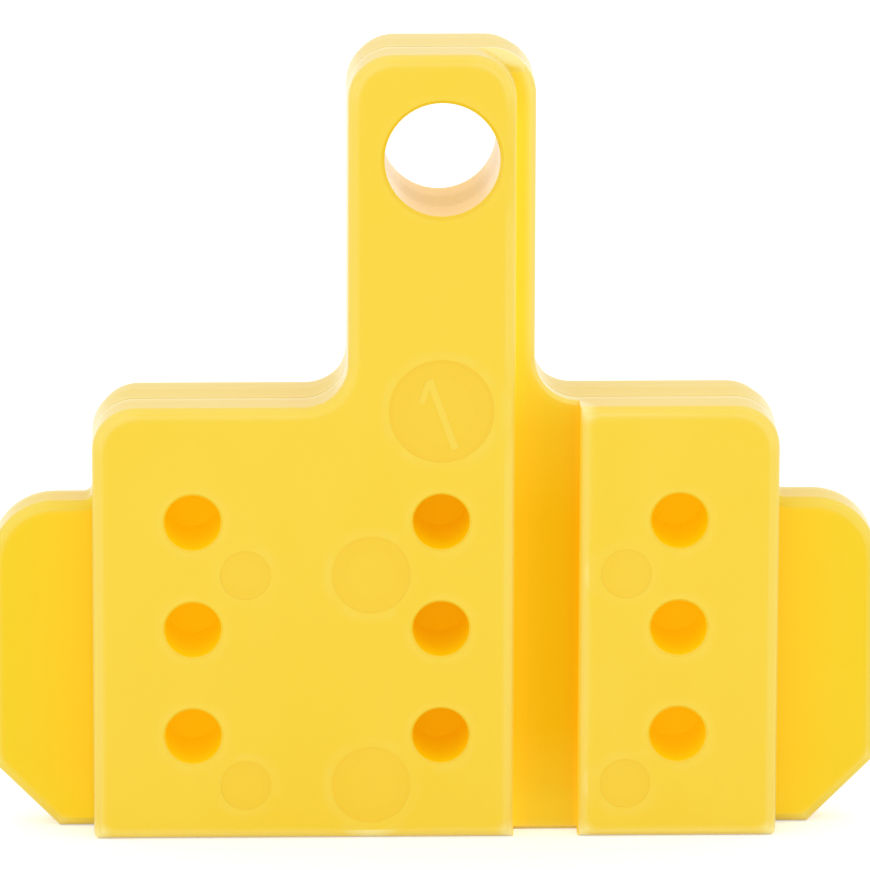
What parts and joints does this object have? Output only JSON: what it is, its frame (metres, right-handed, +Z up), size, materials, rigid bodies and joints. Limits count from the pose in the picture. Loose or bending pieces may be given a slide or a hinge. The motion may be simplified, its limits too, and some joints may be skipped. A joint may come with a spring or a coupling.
{
  "type": "lockout insert",
  "caption": "Yellow plastic lockout insert: a layered T block with guide wings, a keyway, blind sockets and a tab whose bore takes a padlock shackle.",
  "frame": {"origin": "underside of the block, midway between the wing tips and midway through the thickness", "axes": "+X across the width to the right as seen from the front, +Y from the front face to the rear, +Z up towards the padlock tab"},
  "size_m": [0.066, 0.01, 0.0595],
  "materials": {
    "cheek_plastic": "moulded, glossy, slightly translucent yellow",
    "plate_plastic": "moulded, glossy, slightly translucent yellow",
    "dowel_plastic": "turned pin ends, satin yellow"
  },
  "bodies": {
    "root": {"front_cheek": "cheek_plastic", "wing_plate": "plate_plastic", "rear_cheek": "cheek_plastic", "upper_left_dowel": "dowel_plastic", "lower_left_dowel": "dowel_plastic", "upper_right_dowel": "dowel_plastic", "lower_right_dowel": "dowel_plastic", "upper_middle_dowel": "dowel_plastic", "lower_middle_dowel": "dowel_plastic", "neck_dowel": "dowel_plastic"}
  },
  "joints": []
}
